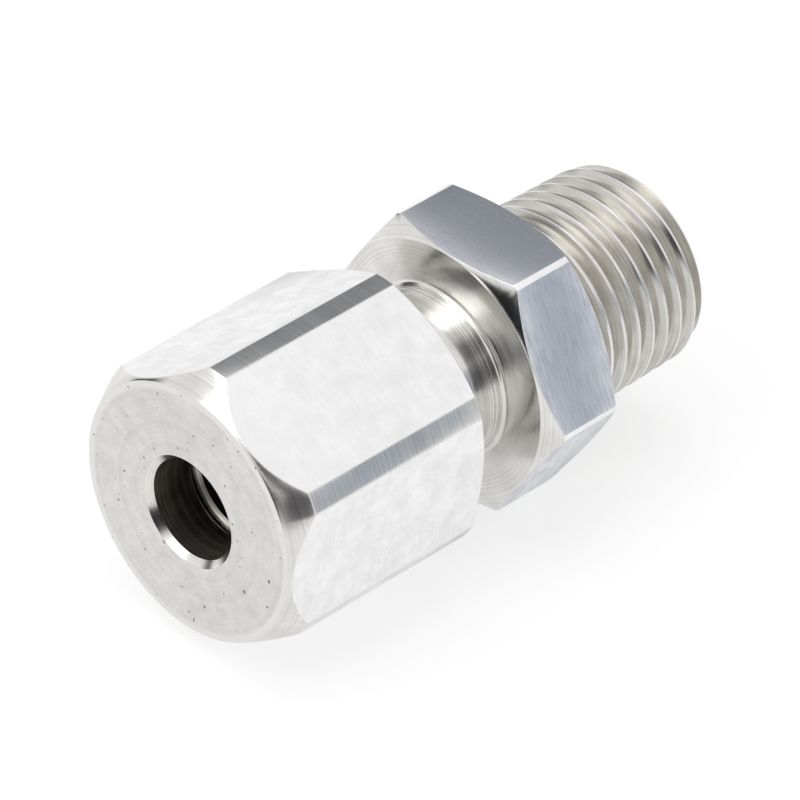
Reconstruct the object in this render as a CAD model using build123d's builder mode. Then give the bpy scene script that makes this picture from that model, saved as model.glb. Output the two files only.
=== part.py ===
"""Thermocouple compression fitting: bored-through body, compression nut and ferrule.

The fitting lies with its axis along X. The probe goes in through the nut on the -X side and
comes out of the pipe thread on the +X side. X = 0 is the shoulder where the pipe thread starts,
and the body's hexagon has a flat on top. The nut is drawn backed off by SEAT_TRAVEL from the
place where the ferrule meets its seat.
"""

import math
import os

from build123d import *

os.makedirs("parts", exist_ok=True)

# Both hexagons. Turning trims their corners and their faces, each by so much in diameter
HEX_SIDES = 6
ACROSS_FLATS = 13.0
BODY_CORNER_TRIM = 0.16
NUT_CORNER_TRIM = 0.56
NUT_REST_TURN = 30.5

# Probe passage
PROBE_D = 4.8
PASSAGE_CLEARANCE = 0.1
FERRULE_CLEARANCE = 0.025
BORE_CHAMFER = 0.3

# Body hexagon and neck
HEX_LENGTH = 4.5
HEX_FRONT_TRIM = 0.15
HEX_BACK_TRIM = 0.05
HEX_CHAMFER_ANGLE = 30.0
NECK_UNDERCUT = 0.17
NECK_LENGTH = 3.0
NECK_FILLET = 0.25

# Pipe thread, 27 turns to the inch. The roots follow the standard taper, the turned crests less
INCH = 25.4
PIPE_TURNS_PER_INCH = 27
PIPE_HEIGHT_RATIO = 0.723
PIPE_ROOT_FLAT_RATIO = 0.053
PIPE_ROOT_TAPER = 1 / 16
PIPE_CREST_TAPER = 1 / 24
PIPE_LENGTH = 8.0
PIPE_END_D = 10.05
PIPE_GROOVE_START = 0.89
PIPE_COLLAR = 0.3
PIPE_RUN_OUT_ANGLE = 22.0
PIPE_END_CHAMFER = 0.5
PIPE_END_CHAMFER_ANGLE = 30.0

# Thread between body and nut, on a stem with its wall round the mouth of the ferrule's seat
STEM_LENGTH = 7.76
STEM_WALL = 0.62
NUT_THREAD_PITCH = 1.0
NUT_HEIGHT_RATIO = 0.58
THREAD_CLEARANCE = 0.05
THREAD_CHAMFER = 0.5
FLANK_ANGLE = 30.0

# Compression nut
NUT_LENGTH = 12.3
NUT_FRONT_TRIM = 0.15
NUT_FRONT_CHAMFER_ANGLE = 60.0
NUT_BACK_TRIM = 0.2
NUT_BACK_CHAMFER_ANGLE = 30.0
NUT_WEB = 2.5
NUT_DRIVE_ANGLE = 45.0
NUT_DRIVE_RIM = 0.1
NUT_RELIEF_LENGTH = 1.5
NUT_RELIEF_DEPTH = 0.1

# Ferrule, its walls measured from its bore, and its seat in the body
FERRULE_WALL = 1.175
FERRULE_BACK_WALL = 0.475
FERRULE_NOSE_WALL = 0.325
FERRULE_LAND = 1.6
FERRULE_CHAMFER = 0.15
DRIVE_CLEARANCE = 0.05
CONE_HALF_ANGLE = 20.0
CONE_MOUTH_CLEARANCE = 0.15
CONE_CLEARANCE = 0.02
SEAT_TRAVEL = 0.3

# Radii and slopes that follow from the sizes above
across_corners = ACROSS_FLATS / math.cos(math.pi / HEX_SIDES)
cone_slope = math.tan(math.radians(CONE_HALF_ANGLE))
drive_slope = math.tan(math.radians(NUT_DRIVE_ANGLE))
flank_slope = math.tan(math.radians(FLANK_ANGLE))
passage_r = PROBE_D / 2 + PASSAGE_CLEARANCE
ferrule_bore_r = PROBE_D / 2 + FERRULE_CLEARANCE
ferrule_r = ferrule_bore_r + FERRULE_WALL
ferrule_back_r = ferrule_bore_r + FERRULE_BACK_WALL
ferrule_nose_r = ferrule_bore_r + FERRULE_NOSE_WALL
nut_drive_r = ferrule_r + NUT_DRIVE_RIM
cone_mouth_r = ferrule_r + CONE_MOUTH_CLEARANCE

# The nut's thread. A ridge clears its groove by the same amount across and along the axis
nut_thread_height = NUT_THREAD_PITCH * NUT_HEIGHT_RATIO
male_root_r = cone_mouth_r + STEM_WALL
male_crest_r = male_root_r + nut_thread_height
female_root_r = male_crest_r + 2 * THREAD_CLEARANCE
female_crest_r = female_root_r - nut_thread_height
nut_relief_r = female_root_r + NUT_RELIEF_DEPTH
neck_r = male_root_r - NECK_UNDERCUT
nut_root_flat = (
    NUT_THREAD_PITCH / 2 + THREAD_CLEARANCE - (female_root_r - male_root_r) * flank_slope
)

# The pipe's thread
pipe_pitch = INCH / PIPE_TURNS_PER_INCH
pipe_thread_height = pipe_pitch * PIPE_HEIGHT_RATIO
pipe_root_flat = pipe_pitch * PIPE_ROOT_FLAT_RATIO
pipe_root_end_r = PIPE_END_D / 2 - pipe_thread_height

# Places along the axis, from the body to its seat, the ferrule in it and the nut behind that
hex_front_x = -HEX_LENGTH
neck_x = hex_front_x - NECK_LENGTH
cone_mouth_x = neck_x - STEM_LENGTH
cone_end_x = cone_mouth_x + (cone_mouth_r - passage_r) / cone_slope
seated_cone_x = cone_mouth_x + (CONE_MOUTH_CLEARANCE - CONE_CLEARANCE) / cone_slope
ferrule_cone_x = seated_cone_x - SEAT_TRAVEL
ferrule_nose_x = ferrule_cone_x + (ferrule_r - ferrule_nose_r) / cone_slope
ferrule_land_x = ferrule_cone_x - FERRULE_LAND
ferrule_back_x = ferrule_land_x - (ferrule_r - ferrule_back_r) / drive_slope
web_back_x = ferrule_back_x - DRIVE_CLEARANCE - (ferrule_back_r - passage_r) / drive_slope
nut_front_x = web_back_x - NUT_WEB
nut_back_x = nut_front_x + NUT_LENGTH
drive_end_x = web_back_x + (nut_drive_r - passage_r) / drive_slope
nut_thread_x = drive_end_x + NUT_RELIEF_LENGTH

# The nut's groove starts in its relief, half a pitch off the body's groove
male_start_x = cone_mouth_x - NUT_THREAD_PITCH
turns_between = round((nut_thread_x - male_start_x) / NUT_THREAD_PITCH - 1)
female_start_x = male_start_x + (turns_between + 1 / 2) * NUT_THREAD_PITCH


def pipe_crest_r(x):
    """Radius of the pipe thread's crests at x."""
    return PIPE_END_D / 2 + (PIPE_LENGTH - x) * PIPE_CREST_TAPER / 2


def pipe_root_r(x):
    """Radius of the pipe thread's roots at x."""
    return pipe_root_end_r + (PIPE_LENGTH - x) * PIPE_ROOT_TAPER / 2


def spun(*points):
    """A solid of revolution about X from (x, radius) points."""
    with BuildPart() as solid:
        with BuildSketch(Plane.XY):
            with BuildLine():
                Polyline(*points, close=True)
            make_face()
        revolve(axis=Axis.X)
    return solid.part


def crown(start_x, end_x, corner_trim, front_trim, front_angle, back_trim, back_angle):
    """The turned outline that trims a hexagon's corners and chamfers both its ends."""
    corner_r = (across_corners - corner_trim) / 2
    front_r = (ACROSS_FLATS - front_trim) / 2
    back_r = (ACROSS_FLATS - back_trim) / 2
    front_drop = (corner_r - front_r) * math.tan(math.radians(front_angle))
    back_drop = (corner_r - back_r) * math.tan(math.radians(back_angle))
    return spun(
        (start_x, 0),
        (start_x, front_r),
        (start_x + front_drop, corner_r),
        (end_x - back_drop, corner_r),
        (end_x, back_r),
        (end_x, 0),
    )


def groove_turn(pitch, start_x, root_r, height, root_flat, taper):
    """One turn of a thread's groove as a solid to cut away, with its root at root_r. It opens
    outwards where height is above zero, and inwards where it is below."""
    reach = height + math.copysign(THREAD_CLEARANCE, height)
    half_root = root_flat / 2
    half_opening = half_root + abs(reach) * flank_slope
    with BuildPart() as turn:
        with BuildLine() as path:
            Helix(
                pitch,
                pitch,
                root_r,
                center=(start_x, 0, 0),
                direction=(1, 0, 0),
                cone_angle=-math.degrees(math.atan(taper / 2)),
            )
        start = path.line @ 0
        radial = (0, start.Y, start.Z)
        with BuildSketch(Plane(origin=start, x_dir=radial, z_dir=path.line % 0)):
            with BuildLine():
                Polyline(
                    (0, -half_root),
                    (reach, -half_opening),
                    (reach, half_opening),
                    (0, half_root),
                    close=True,
                )
            make_face()
        sweep(path=path.line, is_frenet=True)
    return turn.part


def groove_turns(pitch, start_x, end_x, start_root_r, height, root_flat, taper=0.0):
    """The turns of a thread's groove, end to end, from start_x until they pass end_x."""
    return [
        groove_turn(
            pitch,
            start_x + number * pitch,
            start_root_r - number * pitch * taper / 2,
            height,
            root_flat,
            taper,
        )
        for number in range(math.ceil((end_x - start_x) / pitch))
    ]


# Fitting body: hexagon, neck with the nut's thread, and tapered pipe thread, turned from one bar
body_crown = crown(
    hex_front_x,
    0,
    BODY_CORNER_TRIM,
    HEX_FRONT_TRIM,
    HEX_CHAMFER_ANGLE,
    HEX_BACK_TRIM,
    HEX_CHAMFER_ANGLE,
)
chamfer_drop = PIPE_END_CHAMFER * math.tan(math.radians(PIPE_END_CHAMFER_ANGLE))
body_stem = spun(
    (cone_mouth_x, 0),
    (cone_mouth_x, male_crest_r - THREAD_CHAMFER),
    (cone_mouth_x + THREAD_CHAMFER, male_crest_r),
    (neck_x - (male_crest_r - neck_r), male_crest_r),
    (neck_x, neck_r),
    (0, neck_r),
    (0, pipe_crest_r(0)),
    (PIPE_LENGTH - PIPE_END_CHAMFER, pipe_crest_r(PIPE_LENGTH - PIPE_END_CHAMFER)),
    (PIPE_LENGTH, pipe_crest_r(PIPE_LENGTH) - chamfer_drop),
    (PIPE_LENGTH, 0),
)
body_passage = spun(
    (cone_mouth_x, 0),
    (cone_mouth_x, cone_mouth_r),
    (cone_end_x, passage_r),
    (PIPE_LENGTH - BORE_CHAMFER, passage_r),
    (PIPE_LENGTH, passage_r + BORE_CHAMFER),
    (PIPE_LENGTH, 0),
)

# The run-out's cone goes on below the roots, so that the grooves fade out where they meet it.
# The threads are cut one turn at a time, as the run of a whole helix is a harder cut to work out
run_out_end_r = pipe_root_end_r - pipe_thread_height / 2
run_out_drop = pipe_crest_r(PIPE_COLLAR) - run_out_end_r
run_out_end_x = PIPE_COLLAR + run_out_drop / math.tan(math.radians(PIPE_RUN_OUT_ANGLE))
run_out = spun(
    (0, 0),
    (0, pipe_crest_r(0)),
    (PIPE_COLLAR, pipe_crest_r(PIPE_COLLAR)),
    (run_out_end_x, run_out_end_r),
    (run_out_end_x, 0),
)
male_turns = groove_turns(
    NUT_THREAD_PITCH,
    male_start_x,
    neck_x + NUT_THREAD_PITCH / 2,
    male_root_r,
    nut_thread_height,
    nut_root_flat,
)
pipe_turns = groove_turns(
    pipe_pitch,
    PIPE_GROOVE_START,
    PIPE_LENGTH + pipe_pitch,
    pipe_root_r(PIPE_GROOVE_START),
    pipe_thread_height,
    pipe_root_flat,
    PIPE_ROOT_TAPER,
)
with BuildPart() as fitting_body:
    with BuildSketch(Plane.YZ.offset(hex_front_x)):
        RegularPolygon(ACROSS_FLATS / 2, HEX_SIDES, major_radius=False)
    extrude(amount=HEX_LENGTH)
    add(body_crown, mode=Mode.INTERSECT)
    add(body_stem)
    neck_corner = (
        fitting_body.edges()
        .filter_by(GeomType.CIRCLE)
        .filter_by(lambda edge: abs(edge.radius - neck_r) < NECK_FILLET)
        .sort_by(Axis.X)[-1]
    )
    fillet(neck_corner, NECK_FILLET)
    for turn in male_turns + pipe_turns:
        add(turn, mode=Mode.SUBTRACT)
    add(run_out)
    add(body_passage, mode=Mode.SUBTRACT)
fitting_body.part.label = "fitting_body"

# Compression nut: web with the probe's hole, cone that drives the ferrule, relief and thread
nut_crown = crown(
    nut_front_x,
    nut_back_x,
    NUT_CORNER_TRIM,
    NUT_FRONT_TRIM,
    NUT_FRONT_CHAMFER_ANGLE,
    NUT_BACK_TRIM,
    NUT_BACK_CHAMFER_ANGLE,
)
entry_chamfer = nut_relief_r - female_crest_r
nut_cavity = spun(
    (nut_front_x, 0),
    (nut_front_x, passage_r + BORE_CHAMFER),
    (nut_front_x + BORE_CHAMFER, passage_r),
    (web_back_x, passage_r),
    (drive_end_x, nut_drive_r),
    (drive_end_x, nut_relief_r),
    (nut_thread_x, nut_relief_r),
    (nut_thread_x + entry_chamfer, female_crest_r),
    (nut_back_x - entry_chamfer, female_crest_r),
    (nut_back_x, nut_relief_r),
    (nut_back_x, 0),
)
female_turns = groove_turns(
    NUT_THREAD_PITCH,
    female_start_x,
    nut_back_x + NUT_THREAD_PITCH,
    female_root_r,
    -nut_thread_height,
    nut_root_flat,
)
with BuildPart() as compression_nut:
    with BuildSketch(Plane.YZ.offset(nut_front_x)):
        RegularPolygon(
            ACROSS_FLATS / 2, HEX_SIDES, major_radius=False, rotation=NUT_REST_TURN
        )
    extrude(amount=NUT_LENGTH)
    add(nut_crown, mode=Mode.INTERSECT)
    add(nut_cavity, mode=Mode.SUBTRACT)
    for turn in female_turns:
        add(turn, mode=Mode.SUBTRACT)
compression_nut.part.label = "compression_nut"

# Ferrule: its back bevel sits in the nut's cone, and its nose enters the body's seat
with BuildPart() as ferrule:
    with BuildSketch(Plane.XY):
        with BuildLine():
            Polyline(
                (ferrule_back_x, ferrule_bore_r + FERRULE_CHAMFER),
                (ferrule_back_x, ferrule_back_r),
                (ferrule_land_x, ferrule_r),
                (ferrule_cone_x, ferrule_r),
                (ferrule_nose_x, ferrule_nose_r),
                (ferrule_nose_x, ferrule_bore_r),
                (ferrule_back_x + FERRULE_CHAMFER, ferrule_bore_r),
                close=True,
            )
        make_face()
    revolve(axis=Axis.X)
ferrule.part.label = "ferrule"

export_step(fitting_body.part, "parts/fitting_body.step")
export_step(compression_nut.part, "parts/compression_nut.step")
export_step(ferrule.part, "parts/ferrule.step")
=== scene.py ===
# %% [markdown]
# # A thermocouple compression fitting
#
# This lesson dresses a small stainless steel fitting. A probe passes through it, and a nut squeezes
# a ferrule on the probe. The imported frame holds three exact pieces, and each is a body of its own.
# Here each is modelled again, in the same size and place, with the fine edges and thread forms that
# catch the light, and then stands for the plain solid.

import math

import bpy
import numpy as np
from mathutils import Matrix, Vector


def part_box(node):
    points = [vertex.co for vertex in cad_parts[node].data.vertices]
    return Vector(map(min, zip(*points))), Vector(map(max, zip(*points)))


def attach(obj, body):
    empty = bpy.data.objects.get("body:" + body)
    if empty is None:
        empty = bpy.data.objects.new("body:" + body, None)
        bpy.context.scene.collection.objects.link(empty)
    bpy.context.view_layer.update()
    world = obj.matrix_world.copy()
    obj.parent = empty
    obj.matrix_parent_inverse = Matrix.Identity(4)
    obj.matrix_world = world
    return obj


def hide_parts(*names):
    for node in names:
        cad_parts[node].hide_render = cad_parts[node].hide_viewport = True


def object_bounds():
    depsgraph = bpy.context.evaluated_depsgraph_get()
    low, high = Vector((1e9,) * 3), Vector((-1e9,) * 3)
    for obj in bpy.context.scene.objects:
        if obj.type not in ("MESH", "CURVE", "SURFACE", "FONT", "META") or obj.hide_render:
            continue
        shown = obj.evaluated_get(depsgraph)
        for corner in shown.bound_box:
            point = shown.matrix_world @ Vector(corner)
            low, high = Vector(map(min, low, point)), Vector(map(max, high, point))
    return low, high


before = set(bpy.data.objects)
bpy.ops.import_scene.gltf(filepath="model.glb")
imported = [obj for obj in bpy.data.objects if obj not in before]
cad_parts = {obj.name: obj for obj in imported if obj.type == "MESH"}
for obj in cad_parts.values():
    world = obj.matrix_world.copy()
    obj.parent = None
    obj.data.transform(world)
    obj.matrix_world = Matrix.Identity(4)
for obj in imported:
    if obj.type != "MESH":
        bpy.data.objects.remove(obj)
cad_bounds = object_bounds()
print("frame's pieces:", sorted(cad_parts))
print("frame's box in mm:", [[round(value * 1000, 3) for value in corner] for corner in cad_bounds])

# %% [markdown]
# ## Sizes
#
# Everything is turned about the X axis, so a size is either a place along X or a radius. The ends
# of the pieces are read from the frame, so they always match the solids. The other sizes are
# written in millimetres, as on a machinist's drawing: here those that several pieces share, and the
# rest where they are first needed.

# %% Places from the frame, and sizes that pieces share
MM = 0.001
ACROSS_FLATS = 13.0
HEX_LENGTH = 4.5
NECK_LENGTH = 3.0
PASSAGE_R = 2.5
BORE_CHAMFER = 0.3
CONE_SLOPE = math.tan(math.radians(20))

nut_front_x, nut_back_x = (corner[0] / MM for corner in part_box("compression_nut"))
stem_front_x, pipe_end_x = (corner[0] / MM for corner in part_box("fitting_body"))
ferrule_back_x, ferrule_nose_x = (corner[0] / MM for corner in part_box("ferrule"))
hex_front_x = -HEX_LENGTH
neck_x = hex_front_x - NECK_LENGTH
print(f"nut from {nut_front_x:.3f} to {nut_back_x:.3f} mm, stem from {stem_front_x:.3f} mm")

# %% [markdown]
# ## Shop tools
#
# A turned surface is an outline swept about the axis. It could be put together from cylinders and
# cones, but an outline is one short list, as on a drawing. It is drawn as a chain of points, its
# corners are rounded a little in edit mode where that is asked, and the Spin operator turns it once
# round. Points nearer than WELD then become one.

# %% Turned solids
SEGMENTS = 192
WELD = 0.0002
CORNER_SEGMENTS = 3


def select_only(piece):
    """Leaves one piece selected and active."""
    bpy.ops.object.select_all(action="DESELECT")
    piece.select_set(True)
    bpy.context.view_layer.objects.active = piece


def mesh_piece(name, points, edges=(), faces=()):
    """A piece from points in millimetres."""
    mesh = bpy.data.meshes.new(name)
    mesh.from_pydata([Vector(point) * MM for point in points], edges, faces)
    piece = bpy.data.objects.new(name, mesh)
    bpy.context.collection.objects.link(piece)
    return piece


def turned(name, outline, corner_break=0.0):
    """A closed solid of revolution about X from (x, radius) points that start and end on the axis."""
    points = [(x, radius, 0) for x, radius in outline]
    piece = mesh_piece(name, points, [(i, i + 1) for i in range(len(points) - 1)])
    select_only(piece)
    if corner_break:
        for vertex in piece.data.vertices:
            vertex.select = vertex.co.y > WELD * MM
        bpy.ops.object.mode_set(mode="EDIT")
        bpy.ops.mesh.select_mode(type="VERT")
        bpy.ops.mesh.bevel(offset=corner_break * MM, segments=CORNER_SEGMENTS, affect="VERTICES")
        bpy.ops.object.mode_set(mode="OBJECT")
    bpy.ops.object.mode_set(mode="EDIT")
    bpy.ops.mesh.select_all(action="SELECT")
    bpy.ops.mesh.spin(steps=SEGMENTS, angle=2 * math.pi, center=(0, 0, 0), axis=(1, 0, 0))
    bpy.ops.mesh.select_all(action="SELECT")
    bpy.ops.mesh.remove_doubles(threshold=WELD * MM)
    bpy.ops.mesh.normals_make_consistent(inside=False)
    bpy.ops.object.mode_set(mode="OBJECT")
    return piece


# %% [markdown]
# ### Cutting and joining
#
# Drilling, tapping and trimming are Boolean modifiers that are applied at once. Cutting the mesh by
# hand would be slower and less exact. The Manifold solver is quick, needs closed meshes and gives
# closed ones back, so a count of the open edges shows whether a step went wrong.

# %% Cutting and joining
def combine(piece, tool, operation):
    """Cuts, joins or trims a piece with a tool, which is used up."""
    select_only(piece)
    boolean = piece.modifiers.new("work", "BOOLEAN")
    boolean.operation = operation
    boolean.solver = "MANIFOLD"
    boolean.object = tool
    bpy.ops.object.modifier_apply(modifier=boolean.name)
    bpy.data.objects.remove(tool)


def report(piece):
    """Prints a finished piece's triangles, and its edges that don't join two faces."""
    counts = np.zeros(len(piece.data.edges), dtype=int)
    for polygon in piece.data.polygons:
        for key in polygon.loop_indices:
            counts[piece.data.loops[key].edge_index] += 1
    triangles = sum(len(polygon.vertices) - 2 for polygon in piece.data.polygons)
    print(f"{piece.name}: {triangles} triangles, {int((counts != 2).sum())} open edges")


# %% [markdown]
# ## Hexagons
#
# Both hexagons start as drawn hexagon bar. The lathe then trims the corners and chamfers the ends,
# which leaves the curved lines where the cone meets each flat. Those curves are hard to draw, and
# the cut gives them by itself, so a six-sided cylinder is trimmed by a turned crown. A narrow Bevel
# then breaks the edges that are left. It would spike at points nearer than SLIVER, so those are
# merged first. The frame's circles are made of flat facets and fall a little short of true ones, so
# FACET_SAG makes the crown that much smaller, to stay in the frame's box.

# %% Hexagon bar, trimmed by a turned crown
EDGE_BREAK = 0.035
BREAK_SEGMENTS = 2
BREAK_FROM_DEG = 14
SLIVER = 0.02
FACET_SAG = 0.002

across_corners = ACROSS_FLATS / math.cos(math.pi / 6)


def hexagon(name, start_x, end_x, turn_deg, corner_trim, front, back):
    """Hexagon bar along X with a corner turned turn_deg from +Y towards +Z. front and back are
    each the trim of the end face in diameter and the angle of its chamfer."""
    bpy.ops.object.select_all(action="DESELECT")
    bpy.ops.mesh.primitive_cylinder_add(
        vertices=6,
        radius=across_corners / 2 * MM,
        depth=(end_x - start_x) * MM,
        end_fill_type="NGON",
    )
    bar = bpy.context.object
    bar.name = name
    stand = Matrix.Rotation(math.radians(turn_deg), 4, "X") @ Matrix.Rotation(math.pi / 2, 4, "Y")
    bar.data.transform(Matrix.Translation(((start_x + end_x) / 2 * MM, 0, 0)) @ stand)
    corner_r = (across_corners - corner_trim) / 2 - FACET_SAG
    front_r = (ACROSS_FLATS - front[0]) / 2
    back_r = (ACROSS_FLATS - back[0]) / 2
    front_drop = (corner_r - front_r) * math.tan(math.radians(front[1]))
    back_drop = (corner_r - back_r) * math.tan(math.radians(back[1]))
    crown = turned(
        "crown",
        [
            (start_x, 0),
            (start_x, front_r),
            (start_x + front_drop, corner_r),
            (end_x - back_drop, corner_r),
            (end_x, back_r),
            (end_x, 0),
        ],
    )
    combine(bar, crown, "INTERSECT")
    select_only(bar)
    bpy.ops.object.mode_set(mode="EDIT")
    bpy.ops.mesh.select_all(action="SELECT")
    bpy.ops.mesh.remove_doubles(threshold=SLIVER * MM)
    bpy.ops.object.mode_set(mode="OBJECT")
    bevel = bar.modifiers.new("edge break", "BEVEL")
    bevel.width = EDGE_BREAK * MM
    bevel.segments = BREAK_SEGMENTS
    bevel.limit_method = "ANGLE"
    bevel.angle_limit = math.radians(BREAK_FROM_DEG)
    bpy.ops.object.modifier_apply(modifier=bevel.name)
    return bar


# %% [markdown]
# ## Threads
#
# A thread is one groove that winds along the bar. The nut's is straight, and the pipe's is tapered,
# so that it gets tight as it is screwed in. A straight one could come from the Screw modifier. On
# the pipe thread the crests taper less than the roots, and get wider towards the hexagon. So here
# one strip of faces winds round the axis, with eight rows to each turn: two for the root, and three
# on each side for the flank and the rounded edge of the crest. Fans of triangles close its ends,
# which a turned blank then trims square. Its columns lie half a step off those of turned pieces, so
# that the two meshes never share an edge when one cuts the other.

# %% A strip of faces wound into a thread
FLANK_SLOPE = math.tan(math.radians(30))
CREST_ROUNDING = 0.02
ROWS = 8


def thread_row(part, pitch, height, half_root):
    """Place along X from the groove's middle, and depth below the crest, of one of the rows."""
    edge = half_root + abs(height) * FLANK_SLOPE
    inner = edge - CREST_ROUNDING * FLANK_SLOPE
    outer = edge + CREST_ROUNDING
    between = (inner + 2 * edge + outer) / 4
    drop = math.copysign(CREST_ROUNDING, height)
    return (
        (-half_root, height),
        (half_root, height),
        (inner, drop),
        (between, drop / 4),
        (outer, 0),
        (pitch - outer, 0),
        (pitch - between, drop / 4),
        (pitch - inner, drop),
    )[part]


def threaded(name, pitch, start_x, first_x, last_x, root_r, crest_r, root_flat):
    """A closed threaded rod that reaches past first_x and last_x. A groove's middle passes +Z at
    start_x. root_r and crest_r give the radii at x. On a tap the roots stand outside the crests."""
    first_turn = math.floor((first_x - start_x) / pitch) - 1
    turns = math.ceil((last_x - start_x) / pitch) + 1 - first_turn
    points = []
    for row in range(turns * ROWS + 1):
        turn, part = divmod(row, ROWS)
        for step in range(SEGMENTS):
            share = (step + 0.5) / SEGMENTS
            middle = start_x + pitch * (first_turn + turn + share)
            height = crest_r(middle) - root_r(middle)
            along, below = thread_row(part, pitch, height, root_flat / 2)
            radius = crest_r(middle + along) - below
            angle = math.pi / 2 + 2 * math.pi * share
            x = middle + along
            points.append((x, radius * math.cos(angle), radius * math.sin(angle)))
    faces = []
    for row in range((turns - 1) * ROWS):
        for step in range(SEGMENTS):
            here = row * SEGMENTS + step
            beside = here + 1 if step < SEGMENTS - 1 else (row + ROWS) * SEGMENTS
            faces.append((here, beside, beside + SEGMENTS, here + SEGMENTS))
    for row in (0, (turns - 1) * ROWS):
        rim = [row * SEGMENTS + step for step in range(SEGMENTS)]
        rim += [(row + ROWS - part) * SEGMENTS for part in range(ROWS)]
        hub = len(points)
        points.append((points[rim[0]][0], 0, 0))
        faces += [(hub, rim[i], rim[(i + 1) % len(rim)]) for i in range(len(rim))]
    piece = mesh_piece(name, points, faces=faces)
    select_only(piece)
    bpy.ops.object.mode_set(mode="EDIT")
    bpy.ops.mesh.select_all(action="SELECT")
    bpy.ops.mesh.delete_loose()
    bpy.ops.mesh.select_all(action="SELECT")
    bpy.ops.mesh.normals_make_consistent(inside=False)
    bpy.ops.object.mode_set(mode="OBJECT")
    return piece


# %% [markdown]
# ## The fitting body
#
# One bar, turned from both ends. The stem carries the nut's thread and ends in the ferrule's seat.
# A plain neck with a small fillet leads to the hexagon, and the tapered pipe thread fades out in a
# run-out before the shoulder. It could be one outline with threads cut in, but separate stretches
# are easier to check. Each is closed and reaches a little into the next, by LAP, and a Boolean
# joins them to one skin. TRIM is how far the blank that trims a thread stands off its crests.

# %% Stem with the nut's thread, and neck
NUT_PITCH = 1.0
NUT_ROOT_FLAT = 0.1574
STEM_ROOT_R = 4.37
STEM_CREST_R = 4.95
NECK_R = 4.2
NECK_FILLET = 0.25
THREAD_CHAMFER = 0.5
TRIM = 0.4
LAP = 0.6
FILLET_STEPS = 6
TURNING_LINE_DEPTH = 0.02
TURNING_LINE_HALF = 0.03
TURNING_LINES = (-5.42, -5.26, -5.0)

stem_start_x = stem_front_x - NUT_PITCH
body = threaded(
    "body",
    NUT_PITCH,
    stem_start_x,
    stem_front_x,
    neck_x,
    lambda x: STEM_ROOT_R,
    lambda x: STEM_CREST_R,
    NUT_ROOT_FLAT,
)
blank_r = STEM_CREST_R + TRIM
stem_blank = [
    (stem_front_x, 0),
    (stem_front_x, STEM_CREST_R - THREAD_CHAMFER),
    (stem_front_x + THREAD_CHAMFER + TRIM, blank_r),
    (neck_x - (blank_r - NECK_R), blank_r),
    (neck_x, NECK_R),
    (neck_x, 0),
]
combine(body, turned("blank", stem_blank), "INTERSECT")

neck_outline = [(neck_x - LAP, 0), (neck_x - LAP, NECK_R)]
for line_x in TURNING_LINES:
    neck_outline += [
        (line_x - TURNING_LINE_HALF, NECK_R),
        (line_x, NECK_R - TURNING_LINE_DEPTH),
        (line_x + TURNING_LINE_HALF, NECK_R),
    ]
for step in range(FILLET_STEPS + 1):
    angle = math.pi / 2 * step / FILLET_STEPS
    fillet_x = hex_front_x - NECK_FILLET * (1 - math.sin(angle))
    neck_outline.append((fillet_x, NECK_R + NECK_FILLET * (1 - math.cos(angle))))
neck_outline += [(hex_front_x + LAP, NECK_R + NECK_FILLET), (hex_front_x + LAP, 0)]
combine(body, turned("neck", neck_outline), "UNION")
report(body)

# %% [markdown]
# ### Pipe thread
#
# Its roots follow the standard taper, which is 1 in 16 on the diameter or 1 in 32 on the radius, and
# its turned crests taper less, 1 in 48 on the radius. The die can't cut right up to the shoulder, so
# the last grooves get shallow. That could be a radius that changes along the strip. A cone joined
# to it does the same: it rises to a short collar, and the grooves end in it. SKIN lifts the cone
# off the crests, since surfaces that fall together confuse a Boolean.

# %% Pipe thread and its run-out
PIPE_PITCH = 25.4 / 27
PIPE_HEIGHT = 0.68
PIPE_ROOT_FLAT = 0.05
PIPE_END_R = 5.025
CREST_RUN = 48
ROOT_RUN = 32
PIPE_GROOVE_START = 0.89
PIPE_END_CHAMFER_SLOPE = math.tan(math.radians(30))
PIPE_END_CHAMFER = 0.5
COLLAR = 0.3
RUN_OUT_SLOPE = math.tan(math.radians(22))
RUN_OUT_HEIGHTS = 1.5
SKIN = 0.004


def pipe_crest_r(x):
    """Radius of the pipe thread's crests at x."""
    return PIPE_END_R + (pipe_end_x - x) / CREST_RUN


def pipe_root_r(x):
    """Radius of the pipe thread's roots at x."""
    return PIPE_END_R - PIPE_HEIGHT + (pipe_end_x - x) / ROOT_RUN


pipe = threaded(
    "pipe",
    PIPE_PITCH,
    PIPE_GROOVE_START,
    -LAP,
    pipe_end_x,
    pipe_root_r,
    pipe_crest_r,
    PIPE_ROOT_FLAT,
)
pipe_end_r = pipe_crest_r(pipe_end_x) - PIPE_END_CHAMFER * PIPE_END_CHAMFER_SLOPE
pipe_blank_r = pipe_crest_r(0) + TRIM
pipe_blank = [
    (-LAP, 0),
    (-LAP, pipe_blank_r),
    (pipe_end_x - (pipe_blank_r - pipe_end_r) / PIPE_END_CHAMFER_SLOPE, pipe_blank_r),
    (pipe_end_x, pipe_end_r),
    (pipe_end_x, 0),
]
combine(pipe, turned("blank", pipe_blank), "INTERSECT")
run_out_end_r = PIPE_END_R - PIPE_HEIGHT * RUN_OUT_HEIGHTS
run_out_end_x = COLLAR + (pipe_crest_r(COLLAR) - run_out_end_r) / RUN_OUT_SLOPE
run_out = [
    (-LAP / 2, 0),
    (-LAP / 2, pipe_crest_r(0) + SKIN),
    (COLLAR, pipe_crest_r(COLLAR) + SKIN),
    (run_out_end_x, run_out_end_r),
    (run_out_end_x, 0),
]
combine(pipe, turned("run_out", run_out), "UNION")
report(pipe)

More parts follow.
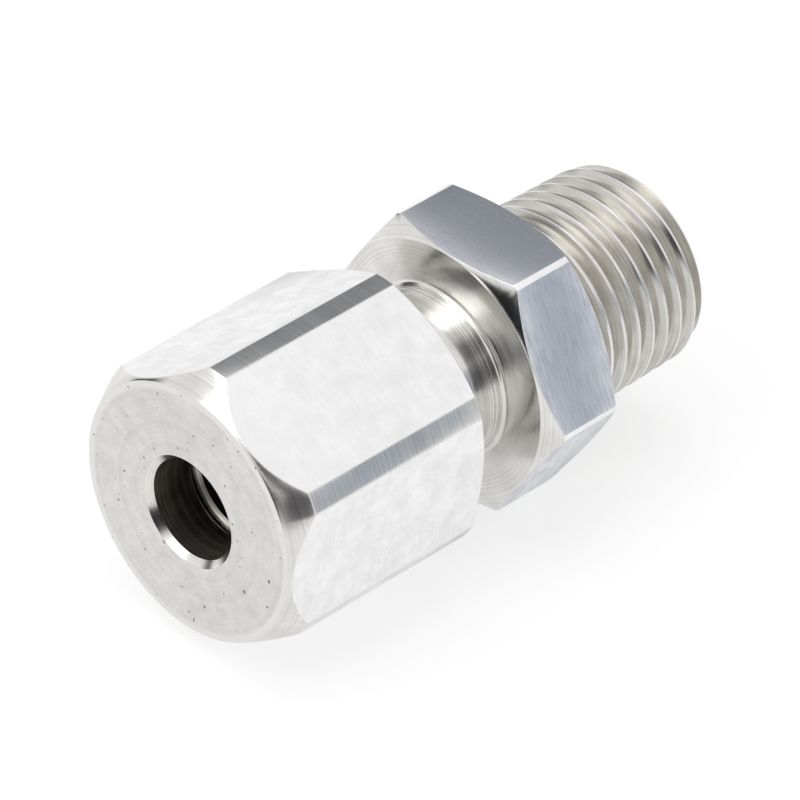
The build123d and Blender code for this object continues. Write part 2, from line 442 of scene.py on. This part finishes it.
# %% [markdown]
# ### Hexagon, passage and seat
#
# The hexagon joins the stem and the pipe thread. The passage is drilled right through, with the
# ferrule's cone at its front and a small chamfer at the pipe's end. It could be three cuts, one for
# each tool, but one turned cutter has all three forms. Each end's chamfer is given by the trim of
# the end face in millimetres and an angle in degrees.

# %% Hexagon, then the passage through it all
BODY_CORNER_TRIM = 0.16
BODY_FRONT_CHAMFER = (0.15, 30)
BODY_BACK_CHAMFER = (0.05, 30)
SEAT_MOUTH_R = 3.75

hex_bar = hexagon(
    "hex_bar",
    hex_front_x,
    end_x=0,
    turn_deg=0,
    corner_trim=BODY_CORNER_TRIM,
    front=BODY_FRONT_CHAMFER,
    back=BODY_BACK_CHAMFER,
)
combine(body, hex_bar, "UNION")
combine(body, pipe, "UNION")
seat_end_x = stem_front_x + (SEAT_MOUTH_R - PASSAGE_R) / CONE_SLOPE
passage = [
    (stem_front_x - LAP, 0),
    (stem_front_x - LAP, SEAT_MOUTH_R + LAP * CONE_SLOPE),
    (seat_end_x, PASSAGE_R),
    (pipe_end_x - BORE_CHAMFER, PASSAGE_R),
    (pipe_end_x + LAP, PASSAGE_R + BORE_CHAMFER + LAP),
    (pipe_end_x + LAP, 0),
]
combine(body, turned("passage", passage), "DIFFERENCE")
report(body)

# %% [markdown]
# ## The compression nut
#
# Hexagon bar again, with its corners turned well down. Inside are the probe's hole, the cone that
# drives the ferrule, a relief and the thread. The thread could be built as a wall of its own, but
# cutting it with a tap is nearer to the shop: a threaded rod in the shape of the space.

# %% Nut, bored and tapped
NUT_TURN_DEG = 30.5
NUT_CORNER_TRIM = 0.56
NUT_FRONT_CHAMFER = (0.15, 60)
NUT_BACK_CHAMFER = (0.2, 30)
WEB = 2.5
DRIVE_R = 3.7
RELIEF = 1.5
RELIEF_R = 5.15
TAP_ROOT_R = 5.05
TAP_CREST_R = 4.47
THREAD_CLEARANCE = 0.05

nut = hexagon(
    "nut",
    nut_front_x,
    nut_back_x,
    NUT_TURN_DEG,
    NUT_CORNER_TRIM,
    NUT_FRONT_CHAMFER,
    NUT_BACK_CHAMFER,
)
web_back_x = nut_front_x + WEB
drive_end_x = web_back_x + DRIVE_R - PASSAGE_R
thread_x = drive_end_x + RELIEF
entry = RELIEF_R - TAP_CREST_R
cavity = [
    (nut_front_x - LAP, 0),
    (nut_front_x - LAP, PASSAGE_R + BORE_CHAMFER + LAP),
    (nut_front_x + BORE_CHAMFER, PASSAGE_R),
    (web_back_x, PASSAGE_R),
    (drive_end_x, DRIVE_R),
    (drive_end_x, RELIEF_R),
    (thread_x, RELIEF_R),
    (thread_x + entry + THREAD_CLEARANCE, TAP_CREST_R - THREAD_CLEARANCE),
    (nut_back_x - entry - THREAD_CLEARANCE, TAP_CREST_R - THREAD_CLEARANCE),
    (nut_back_x + LAP, RELIEF_R + LAP),
    (nut_back_x + LAP, 0),
]
combine(nut, turned("cavity", cavity), "DIFFERENCE")
tap_start_x = stem_start_x + NUT_PITCH / 2
tap = threaded(
    "tap",
    NUT_PITCH,
    tap_start_x,
    thread_x,
    nut_back_x,
    lambda x: TAP_ROOT_R,
    lambda x: TAP_CREST_R,
    NUT_ROOT_FLAT,
)
tap_blank = [
    (thread_x - LAP, 0),
    (thread_x - LAP, RELIEF_R - THREAD_CLEARANCE / 2),
    (nut_back_x + LAP, RELIEF_R - THREAD_CLEARANCE / 2),
    (nut_back_x + LAP, 0),
]
combine(tap, turned("blank", tap_blank), "INTERSECT")
combine(nut, tap, "DIFFERENCE")
report(nut)

# %% [markdown]
# ## The ferrule
#
# A small turned sleeve with a steep bevel at the back, where the nut's cone pushes it, and a long
# nose that enters the body's seat. Its corners could be beveled on the finished sleeve, but it is
# simpler to round the outline's points before the Spin. The bore is cut afterwards.

# %% Ferrule
FERRULE_R = 3.6
FERRULE_BORE_R = 2.425
FERRULE_BACK_R = 2.9
FERRULE_NOSE_R = 2.75
FERRULE_CHAMFER = 0.15
FERRULE_EDGE = 0.03

land_x = ferrule_back_x + FERRULE_R - FERRULE_BACK_R
nose_cone_x = ferrule_nose_x - (FERRULE_R - FERRULE_NOSE_R) / CONE_SLOPE
ferrule = turned(
    "ferrule_sleeve",
    [
        (ferrule_back_x, 0),
        (ferrule_back_x, FERRULE_BACK_R),
        (land_x, FERRULE_R),
        (nose_cone_x, FERRULE_R),
        (ferrule_nose_x, FERRULE_NOSE_R),
        (ferrule_nose_x, 0),
    ],
    FERRULE_EDGE,
)
ferrule_bore = [
    (ferrule_back_x - LAP, 0),
    (ferrule_back_x - LAP, FERRULE_BORE_R + FERRULE_CHAMFER + LAP),
    (ferrule_back_x + FERRULE_CHAMFER, FERRULE_BORE_R),
    (ferrule_nose_x + LAP, FERRULE_BORE_R),
    (ferrule_nose_x + LAP, 0),
]
combine(ferrule, turned("bore", ferrule_bore), "DIFFERENCE")
report(ferrule)

# %% [markdown]
# ## Stainless steel
#
# All three pieces are austenitic stainless steel, bare and bright. What differs is the tool that
# made each surface: drawn bar is smooth with faint mottling, a lathe leaves fine rings about the
# axis, and a drill leaves a rougher bore. The bores and the thread flanks are also painted a shade
# darker, as painted shade. Photographs of steel could be wrapped round the pieces, but nodes have
# no seams and stay sharp from close by. All patterns here are noise nodes, which take their scale
# from a size in millimetres.

# %% Colours and a node helper
def linear(code):
    """A colour in sRGB hex as linear red, green, blue and alpha."""
    values = [int(code[i : i + 2], 16) / 255 for i in (1, 3, 5)]
    return [v / 12.92 if v <= 0.04045 else ((v + 0.055) / 1.055) ** 2.4 for v in values] + [1]


def add_node(tree, kind, inputs=(), **settings):
    """Adds a node with its settings. inputs are its first sockets in order, or sockets by name or
    number, and each is given a value or linked to another node's output."""
    made = tree.nodes.new(kind)
    for name, value in settings.items():
        setattr(made, name, value)
    for socket, value in inputs.items() if isinstance(inputs, dict) else enumerate(inputs):
        if isinstance(value, bpy.types.NodeSocket):
            tree.links.new(value, made.inputs[socket])
        else:
            made.inputs[socket].default_value = value
    return made


# %% [markdown]
# ### Bare metal
#
# Bare metal has no colour but that of its reflection, so Metallic is 1, the base colour is what it
# reflects, and the IOR keeps its default. Rings need a place that doesn't change around the axis: a
# vector of the place along X and the radius, which fits a cylinder, a cone and an end face alike.
# Noise seldom leaves the middle of its range, so that part of it is stretched to the full contrast.

# %% Base and finish of a steel
NOISE_WIDE = (0.3, 0.7)
NOISE_MIDDLE = (0.35, 0.65)
NOISE_NARROW = (0.36, 0.64)


def steel(name, anisotropic):
    """A bare metal. Gives the material, its tree and its shader."""
    material = bpy.data.materials.new(name)
    material.use_nodes = True
    tree = material.node_tree
    shader = tree.nodes["Principled BSDF"]
    shader.inputs["Metallic"].default_value = 1
    shader.inputs["Anisotropic"].default_value = anisotropic
    return material, tree, shader


def axis_places(tree):
    """The place on the piece, its place along X and radius as a vector, and its radius in metres."""
    place = add_node(tree, "ShaderNodeTexCoord").outputs["Object"]
    split = add_node(tree, "ShaderNodeSeparateXYZ", (place,)).outputs
    across = add_node(tree, "ShaderNodeCombineXYZ", {"Y": split["Y"], "Z": split["Z"]}).outputs[0]
    radius = add_node(tree, "ShaderNodeVectorMath", (across,), operation="LENGTH").outputs["Value"]
    rings = add_node(tree, "ShaderNodeCombineXYZ", {"X": split["X"], "Y": radius}).outputs[0]
    return place, rings, radius


def finish_steel(tree, shader, colour, rough, height, depth_mm):
    """Links a surface's colour, roughness and relief, and the way its highlights stretch."""
    relief = {"Height": height, "Distance": depth_mm * MM, "Strength": 1}
    bump = add_node(tree, "ShaderNodeBump", relief).outputs[0]
    for socket, value in (("Base Color", colour), ("Roughness", rough), ("Normal", bump)):
        tree.links.new(value, shader.inputs[socket])
    if shader.inputs["Anisotropic"].default_value:
        tangent = add_node(tree, "ShaderNodeTangent", direction_type="RADIAL", axis="X")
        tree.links.new(tangent.outputs[0], shader.inputs["Tangent"])


# %% [markdown]
# ### Turned steel
#
# The rings of a lathe are 0.05 to 0.1 mm apart. They stretch each highlight across themselves, so
# the metal is anisotropic, with a radial tangent that turns about the piece's X axis, and a shallow
# relief of the same rings breaks the highlights into lines. They are drawn about 0.1 mm apart,
# since finer ones would fall between the pixels. A Mix node takes its factor on socket 0, values on
# sockets 2 and 3, and colours on sockets 6 and 7.

# %% Turned steel
BAND_RINGS = 9
TURNED_MOTTLE_MM = 1.6
TURNED_RING_SHARE = 0.5


def turned_steel(name, codes, rough_range, ring_mm, depth_mm, anisotropic):
    """Lathe-turned steel, light and dark in codes. Its rings are ring_mm apart and depth_mm high."""
    material, tree, shader = steel(name, anisotropic)
    place, ring_place, _ = axis_places(tree)
    fine = {"Vector": ring_place, "Scale": 1 / (ring_mm * MM), "Detail": 1}
    rings = add_node(tree, "ShaderNodeTexNoise", fine).outputs["Fac"]
    coarse = {"Vector": ring_place, "Scale": 1 / (ring_mm * BAND_RINGS * MM), "Detail": 2}
    bands = add_node(tree, "ShaderNodeTexNoise", coarse).outputs["Fac"]
    cloudy = {"Vector": place, "Scale": 1 / (TURNED_MOTTLE_MM * MM), "Detail": 3}
    mottle = add_node(tree, "ShaderNodeTexNoise", cloudy).outputs["Fac"]
    grain = add_node(tree, "ShaderNodeMix", {0: TURNED_RING_SHARE, 2: mottle, 3: rings}).outputs[0]
    tone = add_node(tree, "ShaderNodeMapRange", (grain, *NOISE_MIDDLE, 0, 1)).outputs[0]
    tones = {0: tone, 6: linear(codes[0]), 7: linear(codes[1])}
    colour = add_node(tree, "ShaderNodeMix", tones, data_type="RGBA").outputs[2]
    rough = add_node(tree, "ShaderNodeMapRange", (bands, *NOISE_WIDE, *rough_range)).outputs[0]
    finish_steel(tree, shader, colour, rough, rings, depth_mm)
    return material


# Clean turning: bright, with reflections that are still clear.
turned_bright = turned_steel(
    "turned_stainless_steel",
    ("#e6e5e3", "#cfcdc9"),
    rough_range=(0.13, 0.22),
    ring_mm=0.09,
    depth_mm=0.0004,
    anisotropic=0.5,
)
# Flanks cut by a form tool, which drags: duller, and a shade darker as painted shade.
flank_steel_painted_shade = turned_steel(
    "thread_cut_steel_painted_shade",
    ("#d6d4cf", "#b9b6b0"),
    rough_range=(0.16, 0.26),
    ring_mm=0.09,
    depth_mm=0.0004,
    anisotropic=0.5,
)
# Bored: the tool tears the wall a little, which looks streaked and blurs what it mirrors.
# Its darker tone is painted shade inside the bore.
bored_steel_painted_shade = turned_steel(
    "bored_steel_with_painted_shade",
    ("#e2ded8", "#86817a"),
    rough_range=(0.28, 0.45),
    ring_mm=0.12,
    depth_mm=0.003,
    anisotropic=0.7,
)
print("made", turned_bright.name, flank_steel_painted_shade.name, bored_steel_painted_shade.name)

# %% [markdown]
# ### The nut's faced front
#
# A facing cut leaves rings, and the part-off left it dull, with small dark pits where grains tore
# out. A cleaner band, about half a millimetre wide, runs round its edge, where the chamfer tool
# touched. The pits could be modelled, but at 0.1 mm they are only dark dots, so they are the few
# peaks of a noise. The band is found by the radius.

# %% Faced front
RIM_BAND = 0.45
RIM_FADE = 0.1
PIT_MM = 0.3
PIT_PEAKS = (0.79, 0.83)
FACED_RING_MM = 0.1
FACED_RING_SHARE = 0.3
FACED_MOTTLE_MM = 0.9
FACED_MOTTLE_CONTRAST = 0.7
FACED_ROUGH = (0.36, 0.48)
FACED_DEPTH_MM = 0.0015


def faced_steel(name, codes, hex_pit, anisotropic):
    """Dull faced steel with rings, a clean rim and scattered pits."""
    material, tree, shader = steel(name, anisotropic)
    place, ring_place, radius = axis_places(tree)
    fine = {"Vector": ring_place, "Scale": 1 / (FACED_RING_MM * MM), "Detail": 2}
    rings = add_node(tree, "ShaderNodeTexNoise", fine).outputs["Fac"]
    cloudy = {"Vector": place, "Scale": 1 / (FACED_MOTTLE_MM * MM), "Detail": 5}
    cloudy["Roughness"] = FACED_MOTTLE_CONTRAST
    mottle = add_node(tree, "ShaderNodeTexNoise", cloudy).outputs["Fac"]
    dotted = {"Vector": place, "Scale": 1 / (PIT_MM * MM), "Detail": 0}
    dots = add_node(tree, "ShaderNodeTexNoise", dotted).outputs["Fac"]
    rim_start = (ACROSS_FLATS / 2 - RIM_BAND) * MM
    rim_range = (radius, rim_start, rim_start + RIM_FADE * MM, 0, 1)
    rim = add_node(tree, "ShaderNodeMapRange", rim_range).outputs[0]
    grain = add_node(tree, "ShaderNodeMix", {0: FACED_RING_SHARE, 2: mottle, 3: rings}).outputs[0]
    tone = add_node(tree, "ShaderNodeMapRange", (grain, *NOISE_NARROW, 1, 0)).outputs[0]
    dull = add_node(tree, "ShaderNodeMath", (tone, rim), operation="SUBTRACT", use_clamp=True)
    tones = {0: dull.outputs[0], 6: linear(codes[0]), 7: linear(codes[1])}
    clean = add_node(tree, "ShaderNodeMix", tones, data_type="RGBA").outputs[2]
    pit = add_node(tree, "ShaderNodeMapRange", (dots, *PIT_PEAKS, 0, 1)).outputs[0]
    spotted = {0: pit, 6: clean, 7: linear(hex_pit)}
    colour = add_node(tree, "ShaderNodeMix", spotted, data_type="RGBA").outputs[2]
    rough = add_node(tree, "ShaderNodeMapRange", (mottle, *NOISE_WIDE, *FACED_ROUGH)).outputs[0]
    finish_steel(tree, shader, colour, rough, rings, FACED_DEPTH_MM)
    return material


# Faced: dull, so that it takes a broad even tone from the room and no clear reflection.
faced = faced_steel(
    "faced_stainless_steel", ("#e6e5e3", "#cfcecb"), hex_pit="#8a8681", anisotropic=0.3
)
print("made", faced.name)

# %% [markdown]
# ### Drawn and linished flats
#
# The nut's flats are drawn bar, smooth and faintly mottled. The body's flats were linished: fine
# lines run across the axis, so the noise is fine along X and long in Y and Z, which a Mapping node
# does. Real lines are finer than a pixel, so they are drawn about 0.1 mm apart.

# %% Flats
FLAT_MOTTLE_MM = 1.1
FLAT_MOTTLE_CONTRAST = 0.6


def flat_steel(name, codes, rough_range, line_mm, line_length_mm, line_share, depth_mm):
    """Steel with straight lines across the axis, line_mm apart and line_length_mm long."""
    material, tree, shader = steel(name, 0)
    place = add_node(tree, "ShaderNodeTexCoord").outputs["Object"]
    stretch = line_mm / line_length_mm
    stretched = {"Vector": place, "Scale": (1, stretch, stretch)}
    line_place = add_node(tree, "ShaderNodeMapping", stretched).outputs[0]
    fine = {"Vector": line_place, "Scale": 1 / (line_mm * MM), "Detail": 1.5}
    lines = add_node(tree, "ShaderNodeTexNoise", fine).outputs["Fac"]
    cloudy = {"Vector": place, "Scale": 1 / (FLAT_MOTTLE_MM * MM), "Detail": 4}
    cloudy["Roughness"] = FLAT_MOTTLE_CONTRAST
    mottle = add_node(tree, "ShaderNodeTexNoise", cloudy).outputs["Fac"]
    grain = add_node(tree, "ShaderNodeMix", {0: line_share, 2: mottle, 3: lines}).outputs[0]
    tone = add_node(tree, "ShaderNodeMapRange", (grain, *NOISE_NARROW, 0, 1)).outputs[0]
    tones = {0: tone, 6: linear(codes[0]), 7: linear(codes[1])}
    colour = add_node(tree, "ShaderNodeMix", tones, data_type="RGBA").outputs[2]
    rough = add_node(tree, "ShaderNodeMapRange", (grain, *NOISE_MIDDLE, *rough_range)).outputs[0]
    finish_steel(tree, shader, colour, rough, lines, depth_mm)
    return material


# Drawn through a die: nearly white and even, with soft reflections.
drawn = flat_steel(
    "drawn_stainless_steel",
    ("#f3f3f3", "#e8e8e8"),
    rough_range=(0.2, 0.32),
    line_mm=0.14,
    line_length_mm=1.5,
    line_share=0.2,
    depth_mm=0.0002,
)
# Linished on a belt: bluish, with lines that make its reflections streaky.
linished = flat_steel(
    "linished_stainless_steel",
    ("#e4e6ea", "#bbbfc5"),
    rough_range=(0.22, 0.36),
    line_mm=0.1,
    line_length_mm=1.0,
    line_share=0.6,
    depth_mm=0.0008,
)
print("made", drawn.name, linished.name)

# %% [markdown]
# ### Which face gets which steel
#
# The tool that made a surface follows from where the surface is. So a face is told by its centre
# and its normal: a flat stands half the wrench size from the axis and looks straight out, a bore
# looks in, a thread's flank leans, and an end face looks along the axis. Faces could be picked by
# hand in edit mode, but then again after each change of a size. LEVEL and the leans are shares of a
# normal that lie along X, and the other limits are in millimetres.

# %% Telling faces apart
LEVEL = 0.02
FLAT_TOLERANCE = 0.01
INWARDS = -0.1
WIDEST_BORE_R = 3.8
FLANK_LEAN = 0.6
END_LEAN = 0.95
THREAD_MARGIN = 0.05
ROOT_MARGIN = 0.3


def stands_off(centre, normal):
    """How far a face stands from the axis along its own normal, below zero where it looks in."""
    return centre.y * normal.y + centre.z * normal.z


def is_flat(centre, normal):
    """True on the six flats of a hexagon."""
    off = stands_off(centre, normal) - ACROSS_FLATS / 2
    return abs(normal.x) < LEVEL and abs(off) < FLAT_TOLERANCE


def looks_in(centre, normal):
    """True on the wall of a bore or a cone that opens inwards."""
    return stands_off(centre, normal) < INWARDS and math.hypot(centre.y, centre.z) < WIDEST_BORE_R


def is_flank(centre, normal):
    """True on the flanks of the body's threads, which are painted a shade darker as shade."""
    on_stem = stem_front_x < centre.x < neck_x
    on_pipe = THREAD_MARGIN < centre.x < pipe_end_x - THREAD_MARGIN
    outside = math.hypot(centre.y, centre.z) > STEM_ROOT_R - ROOT_MARGIN
    return (on_stem or on_pipe) and outside and FLANK_LEAN < abs(normal.x) < END_LEAN


# %% Painting the pieces
SMOOTH_DEG = 20
CORNER_LEAN = 0.5


def paint(piece, materials, choose):
    """Gives each face the one of the materials that choose returns from its centre and normal."""
    piece.data.materials.clear()
    for material in materials:
        piece.data.materials.append(material)
    for polygon in piece.data.polygons:
        finish = choose(polygon.center / MM, polygon.normal)
        polygon.material_index = materials.index(finish)
    select_only(piece)
    bpy.ops.object.shade_smooth_by_angle(angle=math.radians(SMOOTH_DEG))
    print("painted", piece.name, "with", [material.name for material in materials])


def body_finish(centre, normal):
    """Linished flats, drawn corners, a bored passage and dull flanks, both with painted shade, and
    turned steel elsewhere.
    """
    if is_flat(centre, normal):
        return linished
    if is_flank(centre, normal):
        return flank_steel_painted_shade
    if abs(normal.x) < CORNER_LEAN and math.hypot(centre.y, centre.z) > ACROSS_FLATS / 2:
        return drawn
    return bored_steel_painted_shade if looks_in(centre, normal) else turned_bright


def nut_finish(centre, normal):
    """Drawn flats, a bored hole with painted shade, a faced front and turned steel elsewhere."""
    if is_flat(centre, normal):
        return drawn
    if looks_in(centre, normal) and centre.x > nut_front_x + BORE_CHAMFER:
        return bored_steel_painted_shade
    return faced if normal.x < -END_LEAN else turned_bright


def ferrule_finish(centre, normal):
    """A bored hole with painted shade, and turned steel elsewhere."""
    return bored_steel_painted_shade if looks_in(centre, normal) else turned_bright


paint(body, [turned_bright, linished, bored_steel_painted_shade, drawn, flank_steel_painted_shade], body_finish)
paint(nut, [turned_bright, drawn, bored_steel_painted_shade, faced], nut_finish)
paint(ferrule, [turned_bright, bored_steel_painted_shade], ferrule_finish)

# %% [markdown]
# ### Each piece takes its node's place
#
# On the real fitting the nut turns and travels, and the ferrule and the body stay. A piece could be
# parented by hand, but riding on the body that its node belongs to gives it the same motion as the
# solid. It stands for that node.

# %% Riding on the frame
for piece, node, slot in (
    (body, "fitting_body", "body_steel"),
    (nut, "compression_nut", "nut_steel"),
    (ferrule, "ferrule", "ferrule_steel"),
):
    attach(piece, node)
    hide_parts(node)
    print(piece.name, "stands for", node)

# %% [markdown]
# ## A white room
#
# The photograph has a white ground with hardly a shadow. Bare metal shows mostly what stands round
# it, so the light is a white room, which a plain world gives without walls. The camera and the
# metal see it white. It lights matt things with only a little more than half of that, which leaves
# the lamps their share and keeps a soft shadow on the floor.

# %% World
ROOM_LIGHT = 0.55


def ray_is_seen(tree):
    """One for rays of the camera, and for those that metal and glass show, and else zero."""
    path = add_node(tree, "ShaderNodeLightPath").outputs
    direct = (path["Is Camera Ray"], path["Is Glossy Ray"])
    both = add_node(tree, "ShaderNodeMath", direct, operation="MAXIMUM").outputs[0]
    through = (both, path["Is Transmission Ray"])
    return add_node(tree, "ShaderNodeMath", through, operation="MAXIMUM").outputs[0]


world = bpy.data.worlds.new("studio")
world.use_nodes = True
bpy.context.scene.world = world
tree = world.node_tree
lighting = tree.nodes["Background"]
lighting.inputs["Color"].default_value = linear("#ffffff")
lighting.inputs["Strength"].default_value = ROOM_LIGHT
seen = add_node(tree, "ShaderNodeBackground", {"Color": linear("#ffffff"), "Strength": 1})
sides = (ray_is_seen(tree), lighting.outputs[0], seen.outputs[0])
mix = add_node(tree, "ShaderNodeMixShader", sides)
tree.links.new(mix.outputs[0], tree.nodes["World Output"].inputs["Surface"])
print("the room lights matt things with", ROOM_LIGHT, "of what is seen")

# %% [markdown]
# ## Floor
#
# The fitting lies on white paper. White paint alone would show the shadow too dark, and a floor
# that only glows would show none. So the paper is a grey that is lit and shaded, and a glow that
# only the camera and the metal see brings it up to white.

# %% White paper
FLOOR_SIZE = 4.0
FLOOR_GLOW = 0.7

bpy.ops.object.select_all(action="DESELECT")
bpy.ops.mesh.primitive_plane_add(size=FLOOR_SIZE, location=(0, 0, cad_bounds[0][2]))
floor = bpy.context.object
floor.name = "floor"
paper = bpy.data.materials.new("white_paper")
paper.use_nodes = True
tree = paper.node_tree
tree.nodes.remove(tree.nodes["Principled BSDF"])
matt = add_node(tree, "ShaderNodeBsdfDiffuse", {"Color": linear("#a8a8a8")}).outputs[0]
shares = (ray_is_seen(tree), FLOOR_GLOW)
strength = add_node(tree, "ShaderNodeMath", shares, operation="MULTIPLY").outputs[0]
white = {"Color": linear("#ffffff"), "Strength": strength}
glow = add_node(tree, "ShaderNodeEmission", white).outputs[0]
both = add_node(tree, "ShaderNodeAddShader", (matt, glow))
tree.links.new(both.outputs[0], tree.nodes["Material Output"].inputs["Surface"])
floor.data.materials.append(paper)
print("floor at z", round(floor.location.z / MM, 3), "mm")

# %% [markdown]
# ## Lamps
#
# Two square soft boxes, one overhead and one to the left, brighten the faces that are brightest in
# the photograph. Small hard lamps would do it too, but they would leave sparks on the metal where
# the photograph has wide even fields. The camera can't see the boxes, and the metal can.

# %% Lamps
# Name, direction, distance, size and radiance
LAMPS = (
    ("overhead", (-0.1, 0.1, 1), 0.6, 0.5, 1.3),
    ("left", (-1, 0.3, 1.1), 0.7, 0.4, 1.2),
)


def lamp(name, direction, distance, size, radiance):
    """A square soft box that looks at the object, with its distance and size in metres. radiance 1
    looks as bright as the room."""
    light = bpy.data.lights.new(name, "AREA")
    light.size = size
    light.energy = radiance * math.pi * size**2
    made = bpy.data.objects.new(name, light)
    bpy.context.collection.objects.link(made)
    way = Vector(direction).normalized()
    turn = way.to_track_quat("Z", "Y").to_matrix().to_4x4()
    made.matrix_world = Matrix.Translation(way * distance) @ turn
    made.visible_camera = False
    return made


for values in LAMPS:
    print("lamp", lamp(*values).name)

# %% [markdown]
# ### Cards
#
# Grey and black fields lie on the metal where the photographer's room was dark. Real flags could be
# modelled and left to shade things too. Here a card only shows in the metal and casts no shadow, so
# each can be moved without changing the light elsewhere. Its soft edge is a round fade from its
# middle, made in its UV coordinates.

# %% Cards
CARD_DISTANCE = 0.5
CARD_EDGE = 0.55
# Colour, azimuth, elevation, half width and half height
CARDS = (
    ("#94979c", 43, 28, 24, 30),
    ("#b4bbc6", -54, 7, 20, 22),
    ("#5c595e", -116, 12, 15, 28),
    ("#6a6a6c", -128, 44, 14, 18),
    ("#262629", -150, 12, 26, 26),
    ("#16181c", 177, 8, 26, 16),
    ("#4c4c4e", 100, 8, 18, 18),
)


def soft_card(name, code):
    """A glow of one colour that fades to clear at the edges of the UV square."""
    material = bpy.data.materials.new(name)
    material.use_nodes = True
    tree = material.node_tree
    tree.nodes.remove(tree.nodes["Principled BSDF"])
    uv = add_node(tree, "ShaderNodeTexCoord").outputs["UV"]
    from_middle = {"Vector": uv, "Location": (-1, -1, 0), "Scale": (2, 2, 0)}
    centred = add_node(tree, "ShaderNodeMapping", from_middle).outputs[0]
    away = add_node(tree, "ShaderNodeVectorMath", (centred,), operation="LENGTH").outputs["Value"]
    edge = (away, CARD_EDGE, 1, 1, 0)
    fade = add_node(tree, "ShaderNodeMapRange", edge, interpolation_type="SMOOTHSTEP").outputs[0]
    tone = add_node(tree, "ShaderNodeEmission", {"Color": linear(code), "Strength": 1}).outputs[0]
    clear = add_node(tree, "ShaderNodeBsdfTransparent").outputs[0]
    mixed = add_node(tree, "ShaderNodeMixShader", (fade, clear, tone))
    tree.links.new(mixed.outputs[0], tree.nodes["Material Output"].inputs["Surface"])
    return material


def card(code, azimuth, elevation, half_width, half_height):
    """A card with soft edges that only the metal sees, as a flag in a studio. Its place and its
    half sizes are angles in degrees as seen from the fitting, with azimuth 0 along +X."""
    bpy.ops.object.select_all(action="DESELECT")
    bpy.ops.mesh.primitive_plane_add(size=2 * CARD_DISTANCE)
    made = bpy.context.object
    made.name = f"card_{azimuth}_{elevation}"
    wide, high = (math.tan(math.radians(half)) for half in (half_width, half_height))
    a, e = math.radians(azimuth), math.radians(elevation)
    way = Vector((math.cos(e) * math.cos(a), math.cos(e) * math.sin(a), math.sin(e)))
    turn = way.to_track_quat("Z", "Y").to_matrix().to_4x4()
    shape = Matrix.Diagonal((wide, high, 1, 1))
    made.data.transform(Matrix.Translation(way * CARD_DISTANCE) @ turn @ shape)
    made.data.materials.append(soft_card(made.name, code))
    for kind in ("camera", "diffuse", "shadow", "transmission", "volume_scatter"):
        setattr(made, f"visible_{kind}", False)
    return made


for values in CARDS:
    print("card", card(*values).name)

# %% [markdown]
# ## Camera
#
# The photograph was taken from in front of the nut, to its left and above, with a long lens, which
# keeps the far hexagon nearly as large as the near one. The camera could be placed by eye. Here the
# place, the roll and the lens were fitted to edges measured in the photograph.

# %% Camera
CAMERA_PLACE = (-215.93, -190.50, 221.54)
CAMERA_AIM = (-6.99, 0.0, -0.60)
CAMERA_ROLL_DEG = 4.17
SENSOR = 36.0
LENS = 354.9
NEAREST = 0.01
FARTHEST = 20

eye = Vector(CAMERA_PLACE) * MM
aim = Vector(CAMERA_AIM) * MM
turn = (eye - aim).to_track_quat("Z", "Y").to_matrix().to_4x4()
roll = Matrix.Rotation(math.radians(CAMERA_ROLL_DEG), 4, "Z")
data = bpy.data.cameras.new("camera")
data.lens = LENS
data.sensor_width = SENSOR
data.clip_start = NEAREST
data.clip_end = FARTHEST
camera = bpy.data.objects.new("camera", data)
bpy.context.collection.objects.link(camera)
camera.matrix_world = Matrix.Translation(eye) @ turn @ roll
bpy.context.scene.camera = camera
bpy.context.scene.view_settings.view_transform = "Standard"
print("camera is", round((eye - aim).length / MM), "mm from the fitting")
